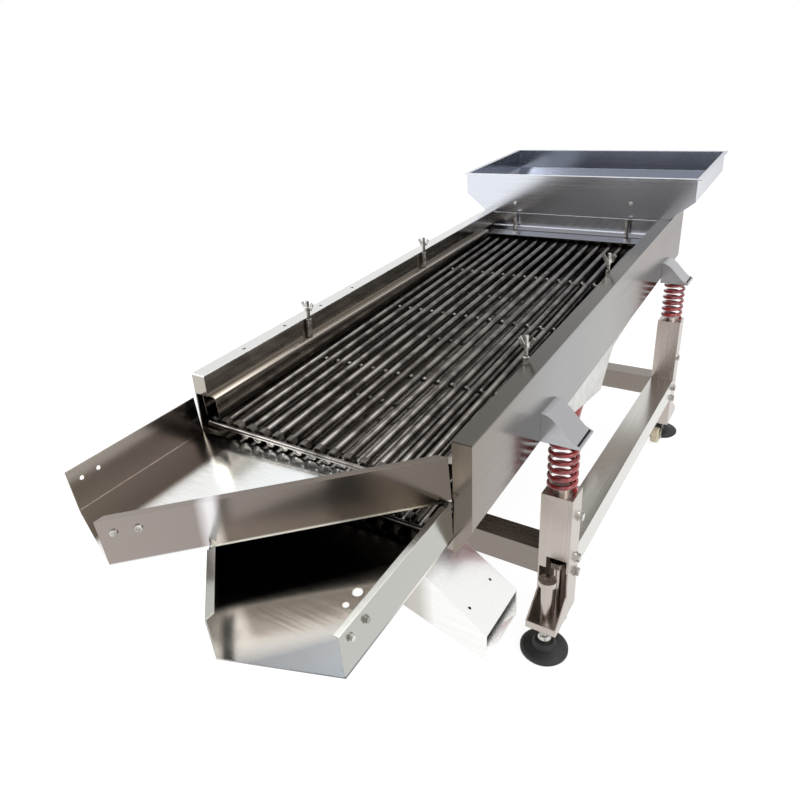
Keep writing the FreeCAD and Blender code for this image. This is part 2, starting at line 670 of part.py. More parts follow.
def draw_corrugation(sketch, middle, pitch):
    """One corrugation of a comb, from crest to crest, with its half-round valley under the rod."""
    inner = dim["rod_diameter"] / 2 + dim["comb_play"]
    outer, half, rise = inner + dim["comb_sheet"], pitch / 2, dim["comb_rise"]
    under = rise - dim["comb_sheet"]
    right = [(outer, size(0)), (outer, under - 5.2), (outer + 2.3, under), (half, under), (half, rise),
             (inner + 3.1, rise), (inner, rise - 6.8), (inner, size(0))]
    left = [(-u, v) for u, v in reversed(right)]
    ends = []
    for chain in (right, left):
        points = [(middle + u, v) for u, v in chain]
        lines = []
        for (u0, v0), (u1, v1) in zip(points, points[1:]):
            line = sketch.addGeometry(Part.LineSegment(Vector(u0.value, v0.value, 0),
                                                       Vector(u1.value, v1.value, 0)))
            drive(sketch, "DistanceX", -1, 1, line, 1, u0)
            drive(sketch, "DistanceY", -1, 1, line, 1, v0)
            if lines:
                sketch.addConstraint(Sketcher.Constraint("Coincident", lines[-1], 2, line, 1))
            lines.append(line)
        drive(sketch, "DistanceX", -1, 1, lines[-1], 2, points[-1][0])
        drive(sketch, "DistanceY", -1, 1, lines[-1], 2, points[-1][1])
        ends.append((lines[0], lines[-1]))
    (right_outer, right_inner), (left_inner, left_outer) = ends
    valleys = ((inner, (left_inner, 1), (right_inner, 2)), (outer, (left_outer, 2), (right_outer, 1)))
    for radius, start, end in valleys:
        circle = Part.Circle(Vector(middle.value, 0, 0), Vector(0, 0, 1), radius.value)
        arc = sketch.addGeometry(Part.ArcOfCircle(circle, math.pi, 2 * math.pi))
        sketch.addConstraint(Sketcher.Constraint("Coincident", arc, 1, *start))
        sketch.addConstraint(Sketcher.Constraint("Coincident", arc, 2, *end))
        drive(sketch, "DistanceY", -1, 1, arc, 3, 0)


def deck_ledges():
    """Four ledges that the decks rest on: two on the side panels, two on the walls of the pan."""
    body = new_body("deck_ledges")
    gauge, inner = dim["tray_sheet"], dim["deck_width"] / 2 - 4
    for drop, outer in ((dim["upper_drop"], WIDE - SHEET), (dim["lower_drop"], dim["pan_half_width"] - gauge)):
        level = TOP - drop - 16.2 - gauge
        strip = sloped(level, SHEET * 2, dim["deck_length"] - dim["lower_reach"], dim["deck_slope"], gauge)
        for start in (-outer, inner):
            pad(body, "YZ_Plane", [strip], start, outer - inner)
    place(body)


def clamp_channels():
    """Rounded channels under the box edges, tapering as the upper deck rises to meet them."""
    wide, gauge, high, corner = 37, dim["tray_sheet"], 46, 9
    near, length, rise = 249, 1225, dim["deck_slope"] - SLOPE
    body = new_body("clamp_channels")

    def arch(middle, inset, foot):
        """The outline of an upturned U with round shoulders, drawn smaller by inset."""
        half, bend = wide / 2 - inset, corner - inset
        points = [(middle - half, foot)]
        for sign in (-1, 1):
            for step in range(4):
                angle = math.radians(90 + 30 * sign * (step if sign > 0 else 3 - step))
                points.append((middle + sign * (half - bend) + bend * math.cos(angle) * -1,
                               high - inset - bend + bend * math.sin(angle)))
        points.append((middle + half, foot))
        return points

    for side in SIDES.values():
        middle = (near + wide / 2) * side
        pad(body, "XZ_Plane", [arch(middle, 0, 0)], 0, length)
        pocket(body, "XZ_Plane", [arch(middle, gauge.value, -5)], 0, length)
    wedge = [(-5, -5), (length + 5, -5), (length + 5, rise * (length + 5)), (-5, rise * -5)]
    pocket(body, "YZ_Plane", [wedge], -near - wide - 1, (near + wide + 1) * 2)
    place(body, 0, SHEET + 4, TOP - dim["return_depth"] - high - 0.2, BOX_TILT)


def hold_down_bolts():
    """Four clamp bolts with their sleeves over the side channels, and two plain rods by the feed plate."""
    body = new_body("hold_down_bolts")
    for x, y, base in bolt_places():
        pad(body, "XY_Plane", [((x, y), 6)], base, 40)
        pad(body, "XY_Plane", [((x, y), 4)], base + 40, 42)
    for side in SIDES.values():
        pad(body, "XY_Plane", [((side * 180, 1278), 6)], TOP + 37.5, 53)
    place(body)


def bolt_places():
    """(x, y, base height) of each clamp bolt."""
    front = TOP - dim["return_depth"]
    return [(side * 258, y, front + SLOPE * y + 0.2) for side in SIDES.values() for y in (306, 818)]


def wing_nuts():
    """A wing nut on each clamp bolt."""
    body = new_body("wing_nuts")
    for x, y, base in bolt_places():
        low = base + 60
        pad(body, "XY_Plane", [((x, y), 7)], low, 8)
        for turn in (-1, 1):
            wing = [(x + turn * 4, low), (x + turn * 9, low), (x + turn * 17, low + 16),
                    (x + turn * 12, low + 20), (x + turn * 5, low + 8)]
            pad(body, "XZ_Plane", [wing], y - 1.5, 3)
        pocket(body, "XY_Plane", [((x, y), 4.2)], low - 1, 10)
    place(body)


# ---------------------------------------------------------------- feed end

def hopper():
    """A funnel of folded sheet: rim, upright band and a cone down to the screen box.

    The rim is folded inwards at the front and the back, and outwards at the two sides.
    """
    half, back = dim["hopper_half_width"], dim["hopper_back"]
    front, end = dim["hopper_front"], dim["box_length"]
    gauge, cone, band = dim["hopper_sheet"], dim["hopper_cone"], dim["hopper_band"]
    body = new_body("hopper")

    def funnel(kind, inset, overshoot):
        """A loft between the throat and the foot of the band, both inset by the same sheet."""
        sections = []
        for level, wide, rear in ((0 - overshoot, WIDE - 6, end), (cone, half, back)):
            sketch = sketch_on(body, "XY_Plane", level)
            add_outline(sketch, box_points(-wide + inset, wide - inset, front + inset, rear - inset))
            sections.append(sketch)
        feature = body.newObject(kind, "Cone")
        feature.Profile = sections[0]
        feature.Sections = [sections[1]]
        feature.Ruled = True
        body.Tip = feature

    funnel("PartDesign::AdditiveLoft", size(0), size(0))
    pad(body, "XY_Plane", [box_points(-half, half, front, back)], cone, band)
    funnel("PartDesign::SubtractiveLoft", gauge, size(0.01))
    rim = dim["rim_width"]
    pocket(body, "XY_Plane", [box_points(-half + gauge, half - gauge, front + gauge, back - gauge)],
           cone, band - gauge)
    pad(body, "XY_Plane", [box_points(-half - rim, half + rim, front, back)], cone + band - gauge, gauge)
    pocket(body, "XY_Plane", [box_points(-half + gauge, half - gauge, front + rim, back - rim)],
           cone + band - gauge, gauge)
    place(body, 0, 0, TOP.value + 0.3, BOX_TILT)


def feed_gate():
    """The adjustable plate that sets the depth of product leaving the hopper."""
    inner = WIDE - dim["flange_width"] - 1
    rear = dim["hopper_front"] - 3
    body = new_body("feed_gate")
    pad(body, "XZ_Plane", [box_points(-inner, inner, -46, -2)], rear - 2, 2)
    pad(body, "XY_Plane", [box_points(-inner, inner, rear - 8, rear - 2)], -46, 2)
    place(body, 0, 0, TOP, BOX_TILT)


def feed_plate():
    """The blank plate that carries product from the hopper throat onto the upper deck."""
    inner = WIDE - dim["flange_width"] - 2
    gauge = dim["tray_sheet"]
    lip, sill, back = TOP + 28, TOP + 35.5, TOP + 56
    start, middle, end = 1230, dim["hopper_front"] - 10, dim["box_length"] - SHEET - 1
    plate = [(start, lip), (middle, sill), (end, back), (end, back + gauge), (middle, sill + gauge),
             (start, lip + gauge)]
    body = new_body("feed_plate")
    pad(body, "YZ_Plane", [plate], -inner, inner * 2)
    place(body)


# ---------------------------------------------------------------- drive

MOTOR_TILT = FreeCAD.Rotation(Vector(1, 0, 0), 45)  # the drive rises at 45 degrees towards the feed end


def motor_centre():
    """Where the shafts' middles lie, below the point of the motor plate that the motors hang from."""
    drop = dim["plate_to_axis"] / math.sqrt(2)
    return dim["hang_y"] + drop, dim["hang_z"] - drop


def motor_mount():
    """Two cheeks under the fines pan and the sloping plate between them."""
    body = new_body("motor_mount")
    level, slope = TOP - dim["pan_drop"], dim["deck_slope"]
    inner, cheek, thick = 256, 6, 12 / math.sqrt(2)
    y, z = dim["hang_y"], dim["hang_z"]
    near, far = (y - 41.5, z - 41.5), (y + 86.5, z + 86.5)
    outline = [(500, level + slope * 500), (500, 400), (615, 386), near, (y + 24.5, z + 24.5), (915, 446),
               (1080, 470), (1080, level + slope * 1080)]
    for start in (-inner - cheek, inner):
        pad(body, "YZ_Plane", [outline], start, cheek)
    plate = [near, far, (far[0] - thick, far[1] + thick), (near[0] - thick, near[1] + thick)]
    pad(body, "YZ_Plane", [plate], -inner, inner * 2)
    place(body)


def motor(side_name):
    """A vibration motor's ribbed body with its feet, and the rotor with its eccentric weights.

    Both are drawn with the shaft along Y and the feet up, then turned to hang under the motor plate.
    """
    centre = dim["motor_axis_x"] * SIDES[side_name]
    radius, half, shaft = dim["motor_radius"], dim["motor_body"] / 2, dim["shaft_radius"]
    lift, foot, rib_pitch = dim["plate_to_axis"], 58, 19
    body = new_body("motor_body_" + side_name)
    pad(body, "XZ_Plane", [((0, 0), radius - 8)], -half, half * 2)
    for step in range(7):
        pad(body, "XZ_Plane", [((0, 0), radius)], -half + 12 + rib_pitch * step, 8)
    pad(body, "XY_Plane", [box_points(-foot, foot, -half + 8, half - 8)], lift - 16, 16)
    pad(body, "XY_Plane", [box_points(-40, 40, -half + 8, half - 8)], 30, lift - 46)
    pocket(body, "XZ_Plane", [((0, 0), shaft + 0.5)], -half - 1, half * 2 + 2)
    place(body, centre, *motor_centre(), MOTOR_TILT)

    rotor = new_body("motor_rotor_" + side_name)
    pad(rotor, "XZ_Plane", [((0, 0), shaft)], -half - 42, half * 2 + 84)
    weight = [(dim["weight_radius"] * math.cos(math.radians(angle)),
               dim["weight_radius"] * math.sin(math.radians(angle))) for angle in range(-160, -19, 20)]
    for start in (-half - 36, half + 8):
        pad(rotor, "XZ_Plane", [[(-14, 0), *weight, (14, 0)]], start, 28)
    place(rotor, centre, *motor_centre(), MOTOR_TILT)


def motor_covers():
    """The round caps over the eccentric weights at both ends of both motors."""
    body = new_body("motor_covers")
    radius, half, cover, gauge = dim["motor_radius"], dim["motor_body"] / 2, dim["motor_cover"], 4
    for side in SIDES.values():
        centre = (dim["motor_axis_x"] * side, 0)
        for start, hollow in ((half, half), (-half - cover, -half - cover + gauge)):
            pad(body, "XZ_Plane", [(centre, radius - 4)], start, cover)
            pocket(body, "XZ_Plane", [(centre, radius - 4 - gauge)], hollow, cover - gauge)
    place(body, 0, *motor_centre(), MOTOR_TILT)


def build():
    for end in ENDS:
        for side_name in SIDES:
            leg(end, side_name)
            foot_channel(end, side_name)
            levelling_foot(end, side_name)
            castor_wheel(end, side_name)
            spring(end, side_name)
            spring_bracket(end, side_name)
    rails()
    frame_bolts()
    castor_forks()
    for side_name in SIDES:
        side_panel(side_name)
        motor(side_name)
    clamp_channels()
    motor_covers()
    rear_panel()
    fines_pan()
    fines_chute()
    upper_chute()
    lower_chute()
    chute_screws()
    deck("upper_deck", dim["upper_drop"], size(0), bar_gap=15)
    deck("lower_deck", dim["lower_drop"], dim["lower_reach"], bar_gap=0)
    deck_ledges()
    hold_down_bolts()
    wing_nuts()
    hopper()
    feed_gate()
    feed_plate()
    motor_mount()


def check_and_export():
    """Stops on any failed object or broken shape, then writes one STEP file for each sub-part."""
    doc.recompute()
    for thing in doc.Objects:
        if "Invalid" in thing.State or "Error" in thing.State:
            owner = thing.getParentGeoFeatureGroup()
            raise ValueError("%s in %s failed" % (thing.Label, owner.Label if owner else "the model"))
    for part in parts:
        if part.Shape.isNull() or not part.Shape.isValid():
            raise ValueError("%s has no valid shape" % part.Label)
    os.makedirs("parts", exist_ok=True)
    for part in parts:
        part.Shape.exportStep("parts/%s.step" % part.Label)
    whole = Part.makeCompound([part.Shape for part in parts])
    print("sub-parts", len(parts), "box", whole.BoundBox)


build()
check_and_export()
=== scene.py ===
import logging
import math
from dataclasses import dataclass, field
from enum import Enum
from typing import Iterable, Sequence

import bpy
from mathutils import Euler, Matrix, Vector


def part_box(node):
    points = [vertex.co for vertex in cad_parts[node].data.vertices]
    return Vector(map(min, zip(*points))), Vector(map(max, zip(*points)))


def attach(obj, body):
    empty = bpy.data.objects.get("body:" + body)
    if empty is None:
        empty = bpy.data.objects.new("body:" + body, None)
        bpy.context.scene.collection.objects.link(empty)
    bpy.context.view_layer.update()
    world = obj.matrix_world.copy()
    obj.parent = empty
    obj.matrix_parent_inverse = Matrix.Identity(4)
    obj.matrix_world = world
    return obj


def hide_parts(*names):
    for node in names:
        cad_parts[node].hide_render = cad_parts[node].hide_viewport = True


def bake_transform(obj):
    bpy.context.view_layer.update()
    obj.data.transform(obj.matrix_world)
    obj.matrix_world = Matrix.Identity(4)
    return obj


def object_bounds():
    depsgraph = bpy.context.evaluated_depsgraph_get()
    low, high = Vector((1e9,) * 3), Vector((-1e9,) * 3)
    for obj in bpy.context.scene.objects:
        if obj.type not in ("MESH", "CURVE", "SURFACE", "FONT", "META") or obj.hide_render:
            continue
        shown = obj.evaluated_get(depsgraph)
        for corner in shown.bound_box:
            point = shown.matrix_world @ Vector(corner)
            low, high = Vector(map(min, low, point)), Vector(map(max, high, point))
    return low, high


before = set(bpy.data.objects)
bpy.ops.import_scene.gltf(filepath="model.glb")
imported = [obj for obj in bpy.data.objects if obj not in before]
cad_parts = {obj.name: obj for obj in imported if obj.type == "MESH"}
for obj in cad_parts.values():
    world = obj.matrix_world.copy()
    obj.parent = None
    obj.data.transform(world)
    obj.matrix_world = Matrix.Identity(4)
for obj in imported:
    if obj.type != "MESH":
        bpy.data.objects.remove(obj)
CAD_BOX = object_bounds()
MM = 0.001
LOG = logging.getLogger("vibrating_sieve")


class Side(Enum):
    """The machine's two sides, seen from the discharge end."""

    LEFT = -1
    RIGHT = 1

    @property
    def word(self) -> str:
        """The side's name as the nodes spell it."""
        return self.name.lower()


class End(Enum):
    """The discharge end and the feed end."""

    FRONT = -1
    REAR = 1

    @property
    def word(self) -> str:
        """The end's name as the nodes spell it."""
        return self.name.lower()


class Axis(Enum):
    """The direction in which a metal's grain runs."""

    X = 0
    Y = 1
    Z = 2


CORNERS = [(end, side) for end in End for side in Side]


# ---------------------------------------------------------------- finishes

def linear(hex_colour: str) -> tuple[float, float, float, float]:
    """Turns an sRGB hex colour into linear light.

    Args:
        hex_colour: Six hex digits, red first.

    Returns:
        Red, green, blue and an alpha of 1.
    """
    channels = [int(hex_colour[i:i + 2], 16) / 255 for i in (0, 2, 4)]
    light = [c / 12.92 if c <= 0.04045 else ((c + 0.055) / 1.055) ** 2.4 for c in channels]
    return light[0], light[1], light[2], 1.0


def add(tree: bpy.types.NodeTree, kind: str, settings: dict = None, links: dict = None) -> bpy.types.Node:
    """Adds a shader node with its settings and its incoming links.

    Args:
        tree: The node tree that the node joins.
        kind: The node's type name.
        settings: Values by attribute name, or by socket name or number.
        links: Output sockets by the name or number of the socket they feed.

    Returns:
        The new node.
    """
    node = tree.nodes.new(kind)
    for name, value in (settings or {}).items():
        if isinstance(name, int) or name in node.inputs:
            node.inputs[name].default_value = value
        else:
            setattr(node, name, value)
    for name, socket in (links or {}).items():
        tree.links.new(socket, node.inputs[name])
    return node


def blank_material(name: str) -> tuple[bpy.types.Material, bpy.types.NodeTree]:
    """Makes a material with an empty node tree.

    Args:
        name: The material's name.

    Returns:
        The material and its node tree.
    """
    material = bpy.data.materials.new(name)
    material.use_nodes = True
    material.node_tree.nodes.clear()
    return material, material.node_tree


def close_material(tree: bpy.types.NodeTree, shader: bpy.types.Node) -> None:
    """Feeds a shader to the material's output.

    Args:
        tree: The material's node tree.
        shader: The node whose first output is the surface.
    """
    add(tree, "ShaderNodeOutputMaterial", links={"Surface": shader.outputs[0]})


def ramp(tree: bpy.types.NodeTree, source: bpy.types.NodeSocket, low: float, high: float,
         to_low: float = 0.0, to_high: float = 1.0) -> bpy.types.NodeSocket:
    """Maps a value's range onto another and clamps it.

    Args:
        tree: The node tree.
        source: The value to map.
        low: The source value that gives to_low.
        high: The source value that gives to_high.
        to_low: The lower result.
        to_high: The upper result.

    Returns:
        The mapped value's socket.
    """
    node = add(tree, "ShaderNodeMapRange", {"From Min": low, "From Max": high, "To Min": to_low,
                                            "To Max": to_high}, {"Value": source})
    return node.outputs["Result"]


@dataclass(frozen=True)
class ToneAndSheen:
    """A slow change of tone through a sheet, given along one direction through the machine; where its stops
    differ, they are painted reflections, painted shade and painted highlights laid into the colour.
    """

    direction: tuple[float, float, float]
    stops: tuple[tuple[float, str], ...]
    wander: float = 0.012

    def paint(self, tree: bpy.types.NodeTree, place: bpy.types.NodeSocket) -> bpy.types.NodeSocket:
        """Lays the tone, with the painted reflections and painted shade in its stops, over a surface.

        Args:
            tree: The material's node tree.
            place: The object coordinates.

        Returns:
            The colour's socket.
        """
        first, last = self.stops[0][0], self.stops[-1][0]
        along = add(tree, "ShaderNodeVectorMath", {"operation": "DOT_PRODUCT", 1: self.direction},
                    {0: place}).outputs["Value"]
        drift = add(tree, "ShaderNodeTexNoise", {"Scale": 7.0, "Detail": 1.0}, {"Vector": place}).outputs["Fac"]
        moved = add(tree, "ShaderNodeMath", {"operation": "MULTIPLY_ADD", 1: self.wander},
                    {0: drift, 2: along}).outputs[0]
        band = add(tree, "ShaderNodeValToRGB", links={"Fac": ramp(tree, moved, first, last)})
        elements = band.color_ramp.elements
        while len(elements) < len(self.stops):
            elements.new(0.5)
        for element, (spot, colour) in zip(elements, self.stops):
            element.position = (spot - first) / (last - first)
            element.color = linear(colour)
        return band.outputs["Color"]


def even(colour: str) -> ToneAndSheen:
    """One tone all over.

    Args:
        colour: The sheet's sRGB hex colour.

    Returns:
        The tone.
    """
    return ToneAndSheen((0.0, 1.0, 0.0), ((-1.0, colour), (1.0, colour)))


@dataclass(frozen=True)
class Border:
    """Where a sheet's lower tone gives way to its upper one, along a direction through the machine."""

    direction: tuple[float, float, float]
    low: float
    high: float


@dataclass(frozen=True)
class RolledStainless:
    """Bright rolled stainless sheet: a faint grain, slow waves, and tones that are painted reflections and
    painted shade laid into its colour.
    """

    name: str
    grain: Axis
    tone: ToneAndSheen
    upper: ToneAndSheen = None
    border: Border = None
    grain_mm: float = 0.9
    streak_mm: float = 420.0
    cloud_mm: float = 300.0
    roughness: tuple[float, float] = (0.13, 0.22)
    edge_mm: float = 1.1

    def build(self) -> bpy.types.Material:
        """Makes the material."""
        material, tree = blank_material(self.name)
        place = add(tree, "ShaderNodeTexCoord").outputs["Object"]
        stretch = [1 / (self.grain_mm * MM)] * 3
        stretch[self.grain.value] = 1 / (self.streak_mm * MM)
        along = add(tree, "ShaderNodeMapping", {"Scale": stretch}, {"Vector": place}).outputs[0]
        grain = add(tree, "ShaderNodeTexNoise", {"Scale": 1.0, "Detail": 2.0, "Roughness": 0.5},
                    {"Vector": along}).outputs["Fac"]
        cloud = add(tree, "ShaderNodeTexNoise", {"Scale": 1 / (self.cloud_mm * MM), "Detail": 1.0,
                                                 "Roughness": 0.4}, {"Vector": place}).outputs["Fac"]
        # Base colour: the tone's painted reflections and painted shade, and above the border the upper tone,
        # which carries its own painted reflections.
        colour = self.tone.paint(tree, place)
        if self.upper:
            height = add(tree, "ShaderNodeVectorMath", {"operation": "DOT_PRODUCT", 1: self.border.direction},
                         {0: place}).outputs["Value"]
            over = ramp(tree, height, self.border.low, self.border.high)
            colour = add(tree, "ShaderNodeMix", {"data_type": "RGBA"},
                         {0: over, 6: colour, 7: self.upper.paint(tree, place)}).outputs[2]
        streaks = add(tree, "ShaderNodeMix", {"data_type": "RGBA", "blend_type": "MULTIPLY",
                                              7: linear("D8D5D2")},
                      {0: ramp(tree, grain, 0.45, 0.75, 0.0, 0.3), 6: colour}).outputs[2]
        rounded = add(tree, "ShaderNodeBevel", {"samples": 4, "Radius": self.edge_mm * MM}).outputs[0]
        waves = add(tree, "ShaderNodeBump", {"Strength": 0.25, "Distance": 0.006},
                    {"Height": cloud, "Normal": rounded})
        brushed = add(tree, "ShaderNodeBump", {"Strength": 0.05, "Distance": 0.0001},
                      {"Height": grain, "Normal": waves.outputs[0]})
        shader = add(tree, "ShaderNodeBsdfPrincipled", {"Metallic": 1.0},
                     {"Base Color": streaks, "Roughness": ramp(tree, grain, 0.3, 0.7, *self.roughness),
                      "Normal": brushed.outputs[0]})
        close_material(tree, shader)
        return material


@dataclass(frozen=True)
class DrawnSteel:
    """Drawn or plated steel: a tight gloss with fine scratches, for bars, bolts and forks."""

    name: str
    colour: str
    shadow: str
    patch_mm: float = 45.0
    scratch_mm: float = 1.2
    roughness: tuple[float, float] = (0.14, 0.30)

    def build(self) -> bpy.types.Material:
        """Makes the material."""
        material, tree = blank_material(self.name)
        place = add(tree, "ShaderNodeTexCoord").outputs["Object"]
        patch = add(tree, "ShaderNodeTexNoise", {"Scale": 1 / (self.patch_mm * MM), "Detail": 2.0},
                    {"Vector": place}).outputs["Fac"]
        scratch = add(tree, "ShaderNodeTexNoise", {"Scale": 1 / (self.scratch_mm * MM), "Detail": 2.0},
                      {"Vector": place}).outputs["Fac"]
        shade = add(tree, "ShaderNodeMix", {"data_type": "RGBA", 6: linear(self.shadow),
                                            7: linear(self.colour)}, {0: ramp(tree, patch, 0.38, 0.6)})
        bump = add(tree, "ShaderNodeBump", {"Strength": 0.1, "Distance": 0.0002}, {"Height": scratch})
        shader = add(tree, "ShaderNodeBsdfPrincipled", {"Metallic": 1.0},
                     {"Base Color": shade.outputs[2], "Roughness": ramp(tree, scratch, 0.3, 0.7, *self.roughness),
                      "Normal": bump.outputs[0]})
        close_material(tree, shader)
        return material


@dataclass(frozen=True)
class Enamel:
    """Sprayed enamel on metal: an orange-peel gloss over a nearly even colour."""

    name: str
    colour: str
    worn: str
    peel_mm: float = 2.5
    roughness: float = 0.28
    coat: float = 0.5

    def build(self) -> bpy.types.Material:
        """Makes the material."""
        material, tree = blank_material(self.name)
        place = add(tree, "ShaderNodeTexCoord").outputs["Object"]
        peel = add(tree, "ShaderNodeTexNoise", {"Scale": 1 / (self.peel_mm * MM), "Detail": 1.0},
                   {"Vector": place}).outputs["Fac"]
        patch = add(tree, "ShaderNodeTexNoise", {"Scale": 1 / (30 * MM), "Detail": 3.0},
                    {"Vector": place}).outputs["Fac"]
        shade = add(tree, "ShaderNodeMix", {"data_type": "RGBA", 6: linear(self.colour),
                                            7: linear(self.worn)}, {0: ramp(tree, patch, 0.4, 0.75)})
        bump = add(tree, "ShaderNodeBump", {"Strength": 0.15, "Distance": 0.0002}, {"Height": peel})
        shader = add(tree, "ShaderNodeBsdfPrincipled",
                     {"Roughness": self.roughness, "Coat Weight": self.coat, "Coat Roughness": 0.08},
                     {"Base Color": shade.outputs[2], "Normal": bump.outputs[0]})
        close_material(tree, shader)
        return material


@dataclass(frozen=True)
class Moulded:
    """Moulded rubber or nylon: a fine grain and a dull or waxy sheen."""

    name: str
    colour: str
    scuffed: str
    roughness: float
    grit_mm: float = 1.5
    subsurface: float = 0.0

    def build(self) -> bpy.types.Material:
        """Makes the material."""
        material, tree = blank_material(self.name)
        place = add(tree, "ShaderNodeTexCoord").outputs["Object"]
        grit = add(tree, "ShaderNodeTexNoise", {"Scale": 1 / (self.grit_mm * MM), "Detail": 2.0},
                   {"Vector": place}).outputs["Fac"]
        scuff = add(tree, "ShaderNodeTexNoise", {"Scale": 1 / (18 * MM), "Detail": 4.0},
                    {"Vector": place}).outputs["Fac"]
        shade = add(tree, "ShaderNodeMix", {"data_type": "RGBA", 6: linear(self.colour),
                                            7: linear(self.scuffed)}, {0: ramp(tree, scuff, 0.5, 0.8)})
        bump = add(tree, "ShaderNodeBump", {"Strength": 0.25, "Distance": 0.0003}, {"Height": grit})
        shader = add(tree, "ShaderNodeBsdfPrincipled",
                     {"Roughness": self.roughness, "Subsurface Weight": self.subsurface},
                     {"Base Color": shade.outputs[2], "Normal": bump.outputs[0]})
        close_material(tree, shader)
        return material


def dress(nodes: Iterable[str], material: bpy.types.Material) -> None:
    """Gives CAD nodes a finish.

    Args:
        nodes: The nodes' names.
        material: The finish.
    """
    for name in nodes:
        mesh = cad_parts[name].data
        mesh.materials.clear()
        mesh.materials.append(material)


# ---------------------------------------------------------------- modelling helpers

def deselect() -> None:
    """Leaves nothing selected, and object mode on."""
    if bpy.context.object and bpy.context.object.mode != "OBJECT":
        bpy.ops.object.mode_set(mode="OBJECT")
    bpy.ops.object.select_all(action="DESELECT")


def settle(piece: bpy.types.Object, name: str, material: bpy.types.Material,
           smooth_degrees: float = 35.0) -> bpy.types.Object:
    """Finishes a new piece: its modifiers applied, its place in its mesh, its finish and shading set.

    Args:
        piece: The object, selected alone.
        name: The piece's name.
        material: Its finish.
        smooth_degrees: Faces that meet at less than this are shaded as one.

    Returns:
        The piece.
    """
    deselect()
    piece.select_set(True)
    bpy.context.view_layer.objects.active = piece
    for modifier in list(piece.modifiers):
        bpy.ops.object.modifier_apply(modifier=modifier.name)
    bpy.ops.object.transform_apply(location=True, rotation=True, scale=True)
    bpy.ops.object.mode_set(mode="EDIT")
    bpy.ops.mesh.select_all(action="SELECT")
    bpy.ops.mesh.remove_doubles(threshold=1e-6)
    bpy.ops.mesh.normals_make_consistent(inside=False)
    bpy.ops.object.mode_set(mode="OBJECT")
    bpy.ops.object.shade_smooth_by_angle(angle=math.radians(smooth_degrees))
    piece.name = name
    piece.data.name = name
    piece.data.materials.clear()
    piece.data.materials.append(material)
    deselect()
    return piece


# ---------------------------------------------------------------- sub-assemblies

@dataclass
class CoilSprings:
    """The four enamelled coil springs, each a round wire wound with closed ends."""

    material: bpy.types.Material
    radius: float = 26 * MM
    wire: float = 4.8 * MM
    turns: int = 6
    steps: int = 40
    sides: int = 14
    pieces: list[bpy.types.Object] = field(default_factory=list)

    def build(self) -> None:
        """Winds a spring in the room of each CAD spring."""
        for end, side in CORNERS:
            self.pieces.append(self.wind(end, side))
            LOG.info("wound %s", self.pieces[-1].name)

    def wind(self, end: End, side: Side) -> bpy.types.Object:
        """Winds one spring.

        Args:
            end: Which end of the machine it stands at.
            side: Which side it stands on.

        Returns:
            The coil.
        """
        node = "spring_%s_%s" % (end.word, side.word)
        low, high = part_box(node)
        centre = frame_spring_centre(end, side)
        pitch = (high.z - low.z - 2 * self.wire) / self.turns
        deselect()
        bpy.ops.mesh.primitive_circle_add(
            vertices=self.sides, radius=self.wire, location=(centre.x + self.radius, centre.y, low.z + self.wire),
            rotation=(math.pi / 2, 0, 0))
        coil = bpy.context.object
        bpy.context.scene.cursor.location = (centre.x, centre.y, low.z + self.wire)
        bpy.ops.object.transform_apply(location=False, rotation=True, scale=True)
        bpy.ops.object.origin_set(type="ORIGIN_CURSOR")
        screw = coil.modifiers.new("wind", "SCREW")
        screw.axis = "Z"
        screw.screw_offset = pitch
        screw.iterations = self.turns
        screw.steps = screw.render_steps = self.steps
        screw.use_merge_vertices = True
        bpy.ops.object.modifier_apply(modifier=screw.name)
        bpy.ops.object.mode_set(mode="EDIT")
        bpy.ops.mesh.select_all(action="DESELECT")
        bpy.ops.mesh.select_mode(type="EDGE")
        bpy.ops.mesh.select_non_manifold()
        bpy.ops.mesh.edge_face_add()
        bpy.ops.object.mode_set(mode="OBJECT")
        settle(coil, "coil_%s_%s" % (end.word, side.word), self.material, 50)
        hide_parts(node)
        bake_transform(coil)
        return coil


